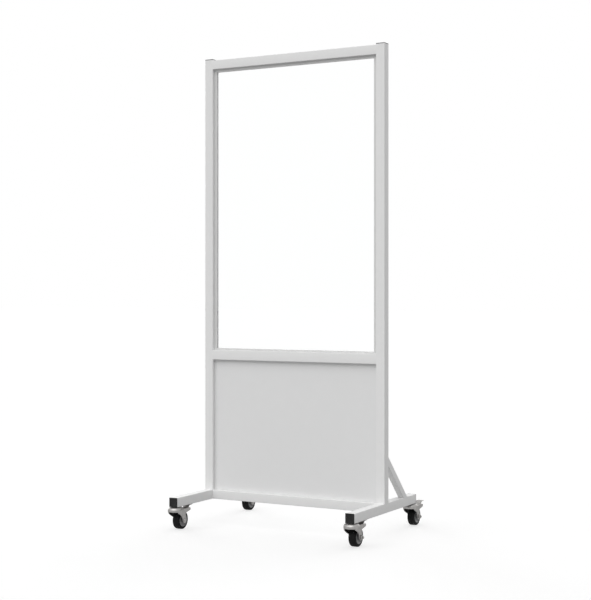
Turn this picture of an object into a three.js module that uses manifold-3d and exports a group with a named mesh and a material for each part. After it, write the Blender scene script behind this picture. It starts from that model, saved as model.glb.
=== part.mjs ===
// Rolling partition: a welded square-tube frame with a clear upper window and a solid lower
// panel, standing on two feet with four swivel casters whose brake pedals point to the rear.
// Units are millimetres. +X is to the right, +Y to the rear, +Z up, and the floor is Z = 0.

import * as THREE from 'three';
import { mergeVertices } from 'three/addons/utils/BufferGeometryUtils.js';
import Module from 'manifold-3d';

const wasm = await Module();
wasm.setup();

// Clearances
const SEAT_GAP = 0.3;
const RUNNING_GAP = 0.3;

// Frame
const FRAME_WIDTH = 848;
const TUBE = 38.1;
const TUBE_WALL = 2;
const TUBE_CORNER = 2.5;
const FOOT_LENGTH = 584;
const FOOT_UNDERSIDE_HEIGHT = 96.3;
const MID_RAIL_UNDERSIDE_HEIGHT = 691.4;
const MID_RAIL_DEPTH = 41.3;
const TOP_RAIL_TOP_HEIGHT = 1969.9;
const POST_RISE = 3.1;
const BRACE_TUBE = 25.4;
const BRACE_WALL = 1.6;
const BRACE_CORNER = 2;
const BRACE_REACH = 184;
const BRACE_ANGLE = Math.PI / 4;

// End caps
const CAP_LIP = 2.5;
const POST_PLUG_LENGTH = 8;

// Window
const PANEL_THICKNESS = 6;
const CHANNEL_WALL = 3.2;
const CHANNEL_BASE = 2;
const SIDE_CHANNEL_LEG = 14.5;
const TOP_CHANNEL_LEG = 12;
const BOTTOM_CHANNEL_LEG = 7.5;
const PANEL_EDGE_PLAY = 1;

// Lower panel
const STOP_BAR = 10;

// Caster
const FRONT_STEM_INSET = 19;
const REAR_STEM_INSET = 14;
const TRAIL = 34;
const WHEEL_RADIUS = 37.5;
const WHEEL_WIDTH = 30;
const TREAD_WIDTH = 21;
const SHOULDER_DROP = 5;
const SHOULDER_BULGE = 2;
const RIM_RADIUS = 26.5;
const RIM_WIDTH = 32;
const RIM_LIP = 3.5;
const HUB_WEB_WIDTH = 17;
const HUB_BOSS_RADIUS = 9.5;
const HUB_BOSS_WIDTH = 38;

const STEM_RADIUS = 6;
const STEM_RISE = 28;
const FLANGE_RADIUS = 13;
const FLANGE_THICKNESS = 1.5;
const WASHER_RADIUS = 13.8;
const WASHER_THICKNESS = 4;
const RIVET_HEAD_RADIUS = 9.5;
const RIVET_HEAD_THICKNESS = 3;

const STEEL = 3;
const CROWN_RADIUS = 32.5;
const CROWN_FLAT_RADIUS = 20;
const CROWN_SKIRT_DROP = 20.5;
const CROWN_WIDEST_DROP = 15;
const CROWN_RIM_TUCK = 0.6;
const CHEEK_WAIST_RADIUS = 27;
const CHEEK_WAIST_DROP = 45;
const CHEEK_END_DROP = 53;
const WHEEL_WELL_CLEARANCE = 2.5;
const LEG_INNER_SPACING = 40;
const CHEEK_FRONT = -17;
const CHEEK_DROP = 24.7;
const SWEEP_END = 11.4;
const SWEEP_END_DROP = 45.1;
const KNEE = 20;
const KNEE_DROP = 51.5;
const LEG_TIP_RADIUS = 12.5;
const NECK = 41;
const NECK_DROP = 30;
const FORK_SHOULDER_DROP = 10.8;
const ARM_REACH = 78;
const ARM_TIP_RADIUS = 6.2;

const AXLE_RADIUS = 4.8;
const BOLT_HEAD_RADIUS = 8;
const BOLT_HEAD_HEIGHT = 4;
const BOLT_HEAD_CROWN = 1.4;
const NUT_ACROSS_FLATS = 16;
const NUT_HEIGHT = 7;
const THREAD_END = 4;

const PEDAL_REACH = 108;
const PEDAL_WIDTH = 29;
const PEDAL_STEEL = 2;
const PEDAL_FRONT = 44;
const PEDAL_TIP_DROP = 1.2;
const PEDAL_PIVOT_REACH = 60;
const PEDAL_PIVOT_DROP = 16;
const PEDAL_PIN_RADIUS = 3;
const RISER_FOOT_REACH = 74;
const RISER_TOP_REACH = 80;
const RISER_TOP_DROP = 2.6;
const SHOE_WIDTH = 16;
const SHOE_REACH = 69;
const SHOE_THICKNESS = 5;
const SHOE_DROP = 31;

// Facets
const WHEEL_SIDES = 36;
const CROWN_SIDES = 30;
const HUB_SIDES = 20;
const PIN_SIDES = 14;
const CURVE_SEGMENTS = 4;
const CORNER_SEGMENTS = 2;

// Places that follow from the sizes above
const FOOT_TOP = FOOT_UNDERSIDE_HEIGHT + TUBE;
const MID_RAIL_TOP = MID_RAIL_UNDERSIDE_HEIGHT + MID_RAIL_DEPTH;
const TOP_RAIL_UNDERSIDE = TOP_RAIL_TOP_HEIGHT - TUBE;
const POST_TOP = TOP_RAIL_TOP_HEIGHT + POST_RISE;
const HALF_WIDTH = FRAME_WIDTH / 2;
const TUBE_CENTRE_X = HALF_WIDTH - TUBE / 2;
const OPENING_WIDTH = FRAME_WIDTH - 2 * TUBE;
const AXLE_DROP = FOOT_UNDERSIDE_HEIGHT - WHEEL_RADIUS;
const LEG_OUTER_X = LEG_INNER_SPACING / 2 + STEEL;
const BORE_RADIUS = STEM_RADIUS + RUNNING_GAP;
const AXLE_HOLE_RADIUS = AXLE_RADIUS + RUNNING_GAP;
const LEAST_STEM_INSET = Math.min(FRONT_STEM_INSET, REAR_STEM_INSET);
const FOOT_PLUG_LENGTH = LEAST_STEM_INSET - STEM_RADIUS - SEAT_GAP - CAP_LIP;
const CROWN_TOP_DROP = SEAT_GAP + FLANGE_THICKNESS + SEAT_GAP;
const WASHER_TOP_DROP = CROWN_TOP_DROP + STEEL + SEAT_GAP;
const RIVET_TOP_DROP = WASHER_TOP_DROP + WASHER_THICKNESS + SEAT_GAP;
// The casters reach further behind the feet than ahead of them, so the frame's mid-plane is
// set forward of the middle of the footprint, which is Y = 0.
const FRONT_REACH = FOOT_LENGTH / 2 - FRONT_STEM_INSET + CROWN_RADIUS;
const REAR_REACH = FOOT_LENGTH / 2 - REAR_STEM_INSET + PEDAL_REACH;
const FRAME_Y = (FRONT_REACH - REAR_REACH) / 2;

// Finishes
const WHITE_PAINT = { color: 0xe9e9e7, roughness: 0.45, metalness: 0 };
const WHITE_SHEET = { color: 0xe6e6e4, roughness: 0.55, metalness: 0 };
const CHANNEL_FINISH = { color: 0xdededc, roughness: 0.4, metalness: 0.1 };
const CLEAR_SHEET = { color: 0xf4f8f8, roughness: 0.05, metalness: 0, transparent: true, opacity: 0.2 };
const BLACK_PLASTIC = { color: 0x262626, roughness: 0.6, metalness: 0 };
const ZINC_STEEL = { color: 0x9d9893, roughness: 0.35, metalness: 0.8 };
const TYRE_RUBBER = { color: 0x1c1c1c, roughness: 0.8, metalness: 0 };
const HUB_PLASTIC = { color: 0x5a5a5a, roughness: 0.5, metalness: 0 };

// Geometry to solid and back, for the few pieces that are joined or cut
function toSolid(geometry) {
  const bare = geometry.clone();
  bare.deleteAttribute('normal');
  bare.deleteAttribute('uv');
  const merged = mergeVertices(bare, 1e-4);
  return new wasm.Manifold(new wasm.Mesh({
    numProp: 3,
    vertProperties: new Float32Array(merged.attributes.position.array),
    triVerts: new Uint32Array(merged.index.array),
  }));
}

function toGeometry(solid) {
  const mesh = solid.getMesh();
  const geometry = new THREE.BufferGeometry();
  geometry.setAttribute('position', new THREE.BufferAttribute(mesh.vertProperties, 3));
  geometry.setIndex(new THREE.BufferAttribute(mesh.triVerts, 1));
  const faceted = geometry.toNonIndexed();
  faceted.computeVertexNormals();
  return faceted;
}

function unite(...geometries) {
  return toGeometry(geometries.map(toSolid).reduce((whole, next) => whole.add(next)));
}

function cut(geometry, ...tools) {
  return toGeometry(tools.map(toSolid).reduce((rest, tool) => rest.subtract(tool), toSolid(geometry)));
}

function trim(geometry, keep) {
  return toGeometry(toSolid(geometry).intersect(toSolid(keep)));
}

// Shapes
function roundedSquare(width, depth, corner) {
  const shape = new THREE.Shape();
  const right = width / 2 - corner;
  const top = depth / 2 - corner;
  shape.absarc(right, top, corner, 0, Math.PI / 2);
  shape.absarc(-right, top, corner, Math.PI / 2, Math.PI);
  shape.absarc(-right, -top, corner, Math.PI, 1.5 * Math.PI);
  shape.absarc(right, -top, corner, 1.5 * Math.PI, 2 * Math.PI);
  shape.closePath();
  return shape;
}

function squareHole(width, depth) {
  const hole = new THREE.Path();
  hole.moveTo(-width / 2, -depth / 2);
  hole.lineTo(-width / 2, depth / 2);
  hole.lineTo(width / 2, depth / 2);
  hole.lineTo(width / 2, -depth / 2);
  hole.closePath();
  return hole;
}

function polygon(points) {
  return new THREE.Shape(points.map(([x, y]) => new THREE.Vector2(x, y)));
}

function extrude(shape, length, curveSegments = CURVE_SEGMENTS) {
  const geometry = new THREE.ExtrudeGeometry(shape, { depth: length, bevelEnabled: false, curveSegments });
  return geometry.translate(0, 0, -length / 2);
}

// A straight square tube, open at both ends, centred on the origin and running along Z
function tube(width, depth, wall, corner, length) {
  const shape = roundedSquare(width, depth, corner);
  shape.holes.push(squareHole(width - 2 * wall, depth - 2 * wall));
  return extrude(shape, length, CORNER_SEGMENTS);
}

// A profile of [radius, height] pairs turned about Z
function turned(profile, sides) {
  const points = profile.map(([radius, height]) => new THREE.Vector2(radius, height));
  return new THREE.LatheGeometry(points, sides).rotateX(Math.PI / 2);
}

// The same, turned about X, with [radius, distance along X] pairs
function turnedAboutX(profile, sides) {
  return turned(profile, sides).rotateY(Math.PI / 2);
}

// A rod about X between two distances along X
function rodAboutX(radius, from, to, sides) {
  return turnedAboutX([[0, from], [radius, from], [radius, to], [0, to]], sides);
}

// An outline in the side view, given as [rearward, upward], made as thick as width along X
function sidePlate(shape, width) {
  return extrude(shape, width).rotateX(Math.PI / 2).rotateZ(Math.PI / 2);
}

function piece(name, geometry, finish) {
  const mesh = new THREE.Mesh(geometry, new THREE.MeshStandardMaterial(finish));
  mesh.name = name;
  return mesh;
}

// Frame
function post(name, side) {
  const length = POST_TOP - FOOT_TOP - SEAT_GAP;
  const mesh = piece(name, tube(TUBE, TUBE, TUBE_WALL, TUBE_CORNER, length), WHITE_PAINT);
  mesh.position.set(side * TUBE_CENTRE_X, 0, POST_TOP - length / 2);
  return mesh;
}

function rail(name, depth, underside) {
  const length = OPENING_WIDTH - 2 * SEAT_GAP;
  const geometry = tube(depth, TUBE, TUBE_WALL, TUBE_CORNER, length).rotateY(Math.PI / 2);
  const mesh = piece(name, geometry, WHITE_PAINT);
  mesh.position.z = underside + depth / 2;
  return mesh;
}

function stemY(end) {
  const inset = end < 0 ? FRONT_STEM_INSET : REAR_STEM_INSET;
  return end * (FOOT_LENGTH / 2 - inset);
}

function foot(name, side) {
  const length = FOOT_LENGTH - 2 * (CAP_LIP + SEAT_GAP);
  const bar = tube(TUBE, TUBE, TUBE_WALL, TUBE_CORNER, length).rotateX(Math.PI / 2);
  const stemHoles = [-1, 1].map((end) => {
    const hole = new THREE.CylinderGeometry(BORE_RADIUS, BORE_RADIUS, TUBE, PIN_SIDES);
    return hole.rotateX(Math.PI / 2).translate(0, stemY(end), -TUBE / 2);
  });
  const mesh = piece(name, cut(bar, ...stemHoles), WHITE_PAINT);
  mesh.position.set(side * TUBE_CENTRE_X, 0, FOOT_UNDERSIDE_HEIGHT + TUBE / 2);
  return mesh;
}

// Slim tube at 45 degrees from the post's rear face down to the foot's top face, its origin at
// the inner corner where the two faces meet
function brace(name, side) {
  const acrossCorner = BRACE_REACH / Math.SQRT2 - BRACE_TUBE / 2;
  const length = 2 * BRACE_REACH;
  const bar = tube(BRACE_TUBE, BRACE_TUBE, BRACE_WALL, BRACE_CORNER, length)
    .translate(0, acrossCorner, 0)
    .rotateX(BRACE_ANGLE);
  const block = new THREE.BoxGeometry(TUBE, 2 * length, 2 * length);
  const behindPost = block.clone().translate(0, SEAT_GAP - length, 0);
  const underFoot = block.clone().translate(0, 0, SEAT_GAP - length);
  const mesh = piece(name, cut(bar, behindPost, underFoot), WHITE_PAINT);
  mesh.position.set(side * (HALF_WIDTH - BRACE_TUBE / 2), TUBE / 2, FOOT_TOP);
  return mesh;
}

// End cap with its plug pointing to -Z and its lip's outer face at Z = 0
function capGeometry(plugLength) {
  const width = TUBE - 2 * TUBE_WALL - 2 * SEAT_GAP;
  const length = plugLength + CAP_LIP / 2;
  const lip = extrude(roundedSquare(TUBE, TUBE, TUBE_CORNER), CAP_LIP, CORNER_SEGMENTS);
  const plug = new THREE.BoxGeometry(width, width, length);
  return unite(lip.translate(0, 0, -CAP_LIP / 2), plug.translate(0, 0, -(CAP_LIP + length) / 2));
}

function postCap(name, side) {
  const mesh = piece(name, capGeometry(POST_PLUG_LENGTH), BLACK_PLASTIC);
  mesh.position.set(side * TUBE_CENTRE_X, 0, POST_TOP + SEAT_GAP + CAP_LIP);
  return mesh;
}

function footCap(name, side, end) {
  const geometry = capGeometry(FOOT_PLUG_LENGTH).rotateX(-end * Math.PI / 2);
  const mesh = piece(name, geometry, BLACK_PLASTIC);
  mesh.position.set(side * TUBE_CENTRE_X, end * FOOT_LENGTH / 2, FOOT_UNDERSIDE_HEIGHT + TUBE / 2);
  return mesh;
}

// Window
// U-shaped channel running along X, its base down and its slot opening upward from Z = 0
function channelGeometry(leg, length) {
  const halfSlot = PANEL_THICKNESS / 2 + SEAT_GAP;
  const halfWidth = halfSlot + CHANNEL_WALL;
  const outline = polygon([
    [-halfWidth, 0],
    [halfWidth, 0],
    [halfWidth, leg],
    [halfSlot, leg],
    [halfSlot, CHANNEL_BASE],
    [-halfSlot, CHANNEL_BASE],
    [-halfSlot, leg],
    [-halfWidth, leg],
  ]);
  return sidePlate(outline, length);
}

function sideChannel(name, side) {
  const length = TOP_RAIL_UNDERSIDE - MID_RAIL_TOP - 2 * SEAT_GAP;
  const geometry = channelGeometry(SIDE_CHANNEL_LEG, length).rotateY(-side * Math.PI / 2);
  const mesh = piece(name, geometry, CHANNEL_FINISH);
  mesh.position.x = side * (OPENING_WIDTH / 2 - SEAT_GAP);
  mesh.position.z = (TOP_RAIL_UNDERSIDE + MID_RAIL_TOP) / 2;
  return mesh;
}

function crossChannelLength() {
  return OPENING_WIDTH - 2 * (SEAT_GAP + SIDE_CHANNEL_LEG + SEAT_GAP);
}

function topChannel(name) {
  const geometry = channelGeometry(TOP_CHANNEL_LEG, crossChannelLength()).rotateX(Math.PI);
  const mesh = piece(name, geometry, CHANNEL_FINISH);
  mesh.position.z = TOP_RAIL_UNDERSIDE - SEAT_GAP;
  return mesh;
}

function bottomChannel(name) {
  const mesh = piece(name, channelGeometry(BOTTOM_CHANNEL_LEG, crossChannelLength()), CHANNEL_FINISH);
  mesh.position.z = MID_RAIL_TOP + SEAT_GAP;
  return mesh;
}

function clearPanel(name) {
  const sideInset = SEAT_GAP + CHANNEL_BASE + PANEL_EDGE_PLAY;
  const bottom = MID_RAIL_TOP + SEAT_GAP + CHANNEL_BASE + SEAT_GAP;
  const top = TOP_RAIL_UNDERSIDE - SEAT_GAP - CHANNEL_BASE - PANEL_EDGE_PLAY;
  const geometry = new THREE.BoxGeometry(OPENING_WIDTH - 2 * sideInset, PANEL_THICKNESS, top - bottom);
  const mesh = piece(name, geometry, CLEAR_SHEET);
  mesh.position.z = (top + bottom) / 2;
  return mesh;
}

// Lower panel and the bars it is fastened to from behind
function lowerPanel(name) {
  const bottom = FOOT_TOP + SEAT_GAP;
  const top = MID_RAIL_UNDERSIDE_HEIGHT - SEAT_GAP;
  const geometry = new THREE.BoxGeometry(OPENING_WIDTH - 2 * SEAT_GAP, PANEL_THICKNESS, top - bottom);
  const mesh = piece(name, geometry, WHITE_SHEET);
  mesh.position.z = (top + bottom) / 2;
  return mesh;
}

function stopBarY() {
  return PANEL_THICKNESS / 2 + SEAT_GAP + STOP_BAR / 2;
}

function sideStop(name, side) {
  const length = MID_RAIL_UNDERSIDE_HEIGHT - FOOT_TOP - 2 * SEAT_GAP;
  const mesh = piece(name, new THREE.BoxGeometry(STOP_BAR, STOP_BAR, length), WHITE_PAINT);
  mesh.position.x = side * (OPENING_WIDTH / 2 - SEAT_GAP - STOP_BAR / 2);
  mesh.position.y = stopBarY();
  mesh.position.z = (MID_RAIL_UNDERSIDE_HEIGHT + FOOT_TOP) / 2;
  return mesh;
}

function crossStop(name, height) {
  const length = OPENING_WIDTH - 2 * (SEAT_GAP + STOP_BAR + SEAT_GAP);
  const mesh = piece(name, new THREE.BoxGeometry(length, STOP_BAR, STOP_BAR), WHITE_PAINT);
  mesh.position.y = stopBarY();
  mesh.position.z = height;
  return mesh;
}

// Caster pieces. Their origin is on the swivel axis at the foot's underside, +Y is the way the
// wheel trails, and side is the side its axle nut is on.
function stemGeometry() {
  return turned([
    [0, -RIVET_TOP_DROP - RIVET_HEAD_THICKNESS],
    [RIVET_HEAD_RADIUS, -RIVET_TOP_DROP - RIVET_HEAD_THICKNESS],
    [RIVET_HEAD_RADIUS, -RIVET_TOP_DROP],
    [STEM_RADIUS, -RIVET_TOP_DROP],
    [STEM_RADIUS, -SEAT_GAP - FLANGE_THICKNESS],
    [FLANGE_RADIUS, -SEAT_GAP - FLANGE_THICKNESS],
    [FLANGE_RADIUS, -SEAT_GAP],
    [STEM_RADIUS, -SEAT_GAP],
    [STEM_RADIUS, STEM_RISE],
    [0, STEM_RISE],
  ], PIN_SIDES);
}

function washerGeometry() {
  const bottom = -WASHER_TOP_DROP - WASHER_THICKNESS;
  return turned([
    [BORE_RADIUS, bottom],
    [WASHER_RADIUS, bottom],
    [WASHER_RADIUS, -WASHER_TOP_DROP],
    [BORE_RADIUS, -WASHER_TOP_DROP],
    [BORE_RADIUS, bottom],
  ], HUB_SIDES);
}

// The quarter-round sweep of the dome, from the flat round the stem out to the widest point
function domeProfile(radius, top) {
  const points = [];
  for (let step = 0; step <= CURVE_SEGMENTS; step += 1) {
    const angle = (step / CURVE_SEGMENTS) * Math.PI / 2;
    points.push([
      CROWN_FLAT_RADIUS + (radius - CROWN_FLAT_RADIUS) * Math.sin(angle),
      -CROWN_WIDEST_DROP + (CROWN_WIDEST_DROP - top) * Math.cos(angle),
    ]);
  }
  return points;
}

function crownGeometry() {
  const inside = CROWN_RADIUS - STEEL;
  return turned([
    [BORE_RADIUS, -CROWN_TOP_DROP - STEEL],
    ...domeProfile(inside, CROWN_TOP_DROP + STEEL),
    [inside - CROWN_RIM_TUCK, -CROWN_SKIRT_DROP],
    [CROWN_RADIUS - CROWN_RIM_TUCK, -CROWN_SKIRT_DROP],
    ...domeProfile(CROWN_RADIUS, CROWN_TOP_DROP).reverse(),
    [BORE_RADIUS, -CROWN_TOP_DROP],
    [BORE_RADIUS, -CROWN_TOP_DROP - STEEL],
  ], CROWN_SIDES);
}

// The cheeks that carry the crown's rim in and down to the legs, as a full ring
function cheekRingGeometry() {
  const rim = CROWN_RADIUS - CROWN_RIM_TUCK;
  return turned([
    [rim - STEEL, -CROWN_WIDEST_DROP],
    [CHEEK_WAIST_RADIUS - STEEL, -CHEEK_WAIST_DROP],
    [LEG_OUTER_X - STEEL, -CHEEK_END_DROP],
    [LEG_OUTER_X, -CHEEK_END_DROP],
    [CHEEK_WAIST_RADIUS, -CHEEK_WAIST_DROP],
    [rim, -CROWN_SKIRT_DROP],
    [rim, -CROWN_WIDEST_DROP],
    [rim - STEEL, -CROWN_WIDEST_DROP],
  ], CROWN_SIDES);
}

// The room inside the crown and the cheeks, which the legs don't reach into
function cheekRoomGeometry() {
  const inside = CROWN_RADIUS - CROWN_RIM_TUCK - STEEL;
  return turned([
    [0, -CHEEK_END_DROP],
    [LEG_OUTER_X - STEEL, -CHEEK_END_DROP],
    [CHEEK_WAIST_RADIUS - STEEL, -CHEEK_WAIST_DROP],
    [inside, -CROWN_WIDEST_DROP],
    [inside, 0],
    [0, 0],
  ], CROWN_SIDES);
}

// Side view of a leg: it sweeps from under the crown to a round end at the axle, and an arm
// with a round end runs to the rear from its top
function legShape() {
  const shape = new THREE.Shape();
  const armHeight = -FORK_SHOULDER_DROP - ARM_TIP_RADIUS;
  shape.moveTo(CHEEK_FRONT, -FORK_SHOULDER_DROP);
  shape.lineTo(CHEEK_FRONT, -CHEEK_DROP);
  shape.lineTo(SWEEP_END, -SWEEP_END_DROP);
  shape.quadraticCurveTo(KNEE, -KNEE_DROP, TRAIL - LEG_TIP_RADIUS, -AXLE_DROP);
  shape.absarc(TRAIL, -AXLE_DROP, LEG_TIP_RADIUS, Math.PI, 2 * Math.PI);
  shape.quadraticCurveTo(NECK, -(AXLE_DROP + NECK_DROP) / 2, NECK, -NECK_DROP);
  shape.lineTo(ARM_REACH - ARM_TIP_RADIUS, armHeight - ARM_TIP_RADIUS);
  shape.absarc(ARM_REACH - ARM_TIP_RADIUS, armHeight, ARM_TIP_RADIUS, -Math.PI / 2, Math.PI / 2);
  shape.closePath();
  return shape;
}

function legBlank(side) {
  const length = ARM_REACH - CHEEK_FRONT;
  const height = AXLE_DROP + LEG_TIP_RADIUS;
  const middleX = side * (LEG_OUTER_X - STEEL / 2);
  const blank = new THREE.BoxGeometry(STEEL, length, height);
  return blank.translate(middleX, CHEEK_FRONT + length / 2, -height / 2);
}

function forkGeometry() {
  const span = 2 * CROWN_RADIUS;
  const halfSpacing = LEG_INNER_SPACING / 2;
  const wellRadius = WHEEL_RADIUS + WHEEL_WELL_CLEARANCE;
  const pedalHoleRadius = PEDAL_PIN_RADIUS + RUNNING_GAP;
  const legs = cut(unite(legBlank(-1), legBlank(1)), cheekRoomGeometry());
  const sides = trim(unite(cheekRingGeometry(), legs), sidePlate(legShape(), span));
  return cut(
    unite(crownGeometry(), sides),
    rodAboutX(wellRadius, -halfSpacing, halfSpacing, WHEEL_SIDES).translate(0, TRAIL, -AXLE_DROP),
    rodAboutX(AXLE_HOLE_RADIUS, -span, span, PIN_SIDES).translate(0, TRAIL, -AXLE_DROP),
    rodAboutX(pedalHoleRadius, -span, span, PIN_SIDES).translate(0, PEDAL_PIVOT_REACH, -PEDAL_PIVOT_DROP),
  );
}

// Tyre with a flat tread, rounded shoulders and a flat of its polygon on the floor
function tyreGeometry() {
  const corner = 1 / Math.cos(Math.PI / WHEEL_SIDES);
  const halfTread = TREAD_WIDTH / 2;
  const halfWidth = WHEEL_WIDTH / 2;
  const shoulderRadius = WHEEL_RADIUS - SHOULDER_BULGE;
  const sideRadius = WHEEL_RADIUS - SHOULDER_DROP;
  const seatRadius = RIM_RADIUS + SEAT_GAP;
  const halfShoulder = (halfTread + halfWidth) / 2 + SHOULDER_BULGE / 2;
  const profile = [
    [seatRadius, -halfWidth],
    [sideRadius, -halfWidth],
    [shoulderRadius, -halfShoulder],
    [WHEEL_RADIUS * corner, -halfTread],
    [WHEEL_RADIUS * corner, halfTread],
    [shoulderRadius, halfShoulder],
    [sideRadius, halfWidth],
    [seatRadius, halfWidth],
    [seatRadius, -halfWidth],
  ];
  return turnedAboutX(profile, WHEEL_SIDES).rotateX(Math.PI / WHEEL_SIDES);
}

// Hub with a narrow rim, faces dished down to the web and a boss between the fork's legs
function hubGeometry() {
  const half = [
    [AXLE_HOLE_RADIUS, HUB_BOSS_WIDTH / 2],
    [HUB_BOSS_RADIUS, HUB_BOSS_WIDTH / 2],
    [HUB_BOSS_RADIUS, HUB_WEB_WIDTH / 2],
    [RIM_RADIUS - RIM_LIP, RIM_WIDTH / 2],
    [RIM_RADIUS, RIM_WIDTH / 2],
  ];
  const mirrored = half.map(([radius, along]) => [radius, -along]);
  return turnedAboutX([...mirrored, ...half.reverse(), mirrored[0]], HUB_SIDES);
}

function axleBoltGeometry(side) {
  const headFrom = LEG_OUTER_X + SEAT_GAP;
  const headTo = headFrom + BOLT_HEAD_HEIGHT;
  const end = LEG_OUTER_X + SEAT_GAP + NUT_HEIGHT + THREAD_END;
  const bolt = turnedAboutX([
    [0, -headTo],
    [BOLT_HEAD_RADIUS - BOLT_HEAD_CROWN, -headTo],
    [BOLT_HEAD_RADIUS, -headTo + BOLT_HEAD_CROWN],
    [BOLT_HEAD_RADIUS, -headFrom],
    [AXLE_RADIUS, -headFrom],
    [AXLE_RADIUS, end],
    [0, end],
  ], PIN_SIDES);
  return side > 0 ? bolt : bolt.rotateZ(Math.PI);
}

function axleNutGeometry(side) {
  const cornerRadius = NUT_ACROSS_FLATS / Math.sqrt(3);
  const blank = rodAboutX(cornerRadius, 0, NUT_HEIGHT, 6);
  const hole = rodAboutX(AXLE_HOLE_RADIUS, -NUT_HEIGHT, 2 * NUT_HEIGHT, PIN_SIDES);
  const nut = cut(blank, hole).translate(LEG_OUTER_X + SEAT_GAP, 0, 0);
  return side > 0 ? nut : nut.rotateZ(Math.PI);
}

// Bent strip with a riser and a raised tread behind the wheel, with its pin through both arms
// and a narrow brake shoe hanging from it over the tyre's rear
function pedalGeometry() {
  const stripDrop = PEDAL_PIVOT_DROP - PEDAL_PIN_RADIUS;
  const top = [
    [PEDAL_FRONT, -stripDrop],
    [RISER_FOOT_REACH, -stripDrop],
    [RISER_TOP_REACH, -RISER_TOP_DROP],
    [PEDAL_REACH, -PEDAL_TIP_DROP],
  ];
  const underside = [
    [PEDAL_REACH, -PEDAL_TIP_DROP - PEDAL_STEEL],
    [RISER_TOP_REACH + PEDAL_STEEL / 2, -RISER_TOP_DROP - PEDAL_STEEL],
    [RISER_FOOT_REACH + PEDAL_STEEL / 2, -stripDrop - PEDAL_STEEL],
    [PEDAL_FRONT, -stripDrop - PEDAL_STEEL],
  ];
  const strip = polygon([...top, ...underside].reverse());
  const shoe = polygon([
    [SHOE_REACH - SHOE_THICKNESS, -stripDrop - PEDAL_STEEL / 2],
    [SHOE_REACH - SHOE_THICKNESS, -SHOE_DROP],
    [SHOE_REACH, -SHOE_DROP],
    [SHOE_REACH, -stripDrop],
  ]);
  const pin = rodAboutX(PEDAL_PIN_RADIUS, -LEG_OUTER_X, LEG_OUTER_X, PIN_SIDES);
  return unite(
    sidePlate(strip, PEDAL_WIDTH),
    sidePlate(shoe, SHOE_WIDTH),
    pin.translate(0, PEDAL_PIVOT_REACH, -PEDAL_PIVOT_DROP),
  );
}

function caster(place, side, end) {
  const group = new THREE.Group();
  const axleHeight = FOOT_UNDERSIDE_HEIGHT - AXLE_DROP;
  const swivelPieces = [
    piece(`${place}_stem`, stemGeometry(), ZINC_STEEL),
    piece(`${place}_swivel_washer`, washerGeometry(), ZINC_STEEL),
    piece(`${place}_fork`, forkGeometry(), ZINC_STEEL),
    piece(`${place}_brake_pedal`, pedalGeometry(), ZINC_STEEL),
  ];
  const axlePieces = [
    piece(`${place}_tyre`, tyreGeometry(), TYRE_RUBBER),
    piece(`${place}_hub`, hubGeometry(), HUB_PLASTIC),
    piece(`${place}_axle_bolt`, axleBoltGeometry(side), ZINC_STEEL),
    piece(`${place}_axle_nut`, axleNutGeometry(side), ZINC_STEEL),
  ];
  swivelPieces.forEach((mesh) => mesh.position.set(0, 0, FOOT_UNDERSIDE_HEIGHT));
  axlePieces.forEach((mesh) => mesh.position.set(0, TRAIL, axleHeight));
  group.add(...swivelPieces, ...axlePieces);
  group.position.set(side * TUBE_CENTRE_X, stemY(end), 0);
  return group;
}

function frameSide(label, side) {
  const group = new THREE.Group();
  group.add(
    post(`${label}_post`, side),
    postCap(`${label}_post_cap`, side),
    foot(`${label}_foot`, side),
    footCap(`${label}_foot_front_cap`, side, -1),
    footCap(`${label}_foot_rear_cap`, side, 1),
    brace(`${label}_brace`, side),
    sideChannel(`window_channel_${label}`, side),
    sideStop(`panel_stop_${label}`, side),
    caster(`front_${label}`, side, -1),
    caster(`rear_${label}`, side, 1),
  );
  return group;
}

function partition() {
  const frame = new THREE.Group();
  frame.add(
    frameSide('left', -1),
    frameSide('right', 1),
    rail('top_rail', TUBE, TOP_RAIL_UNDERSIDE),
    rail('mid_rail', MID_RAIL_DEPTH, MID_RAIL_UNDERSIDE_HEIGHT),
    rail('bottom_rail', TUBE, FOOT_UNDERSIDE_HEIGHT),
    topChannel('window_channel_top'),
    bottomChannel('window_channel_bottom'),
    clearPanel('clear_panel'),
    lowerPanel('lower_panel'),
    crossStop('panel_stop_top', MID_RAIL_UNDERSIDE_HEIGHT - SEAT_GAP - STOP_BAR / 2),
    crossStop('panel_stop_bottom', FOOT_TOP + SEAT_GAP + STOP_BAR / 2),
  );
  frame.position.y = FRAME_Y;
  const root = new THREE.Group();
  root.add(frame);
  return root;
}

export default partition();
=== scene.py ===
"""Rolling partition: finished surfaces, floor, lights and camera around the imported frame."""

import math

import bmesh
import bpy
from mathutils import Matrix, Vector


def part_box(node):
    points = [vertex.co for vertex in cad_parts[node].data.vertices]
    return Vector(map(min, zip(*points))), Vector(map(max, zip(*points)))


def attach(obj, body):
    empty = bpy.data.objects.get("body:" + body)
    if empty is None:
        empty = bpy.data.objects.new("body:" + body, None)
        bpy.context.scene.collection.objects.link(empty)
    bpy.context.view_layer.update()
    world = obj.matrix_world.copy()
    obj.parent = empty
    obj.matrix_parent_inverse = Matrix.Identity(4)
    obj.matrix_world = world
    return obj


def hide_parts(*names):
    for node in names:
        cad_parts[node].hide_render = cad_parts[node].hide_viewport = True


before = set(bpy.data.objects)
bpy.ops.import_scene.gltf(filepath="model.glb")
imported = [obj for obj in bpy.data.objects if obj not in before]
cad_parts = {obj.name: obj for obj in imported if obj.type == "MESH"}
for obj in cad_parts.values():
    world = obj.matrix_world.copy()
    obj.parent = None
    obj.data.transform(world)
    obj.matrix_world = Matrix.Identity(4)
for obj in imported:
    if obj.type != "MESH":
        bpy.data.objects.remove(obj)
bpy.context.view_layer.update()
scene = bpy.context.scene

# Sizes are in millimetres here and become metres where a mesh is made.
MM = 0.001

MERGE_DISTANCE = 1e-7

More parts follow.
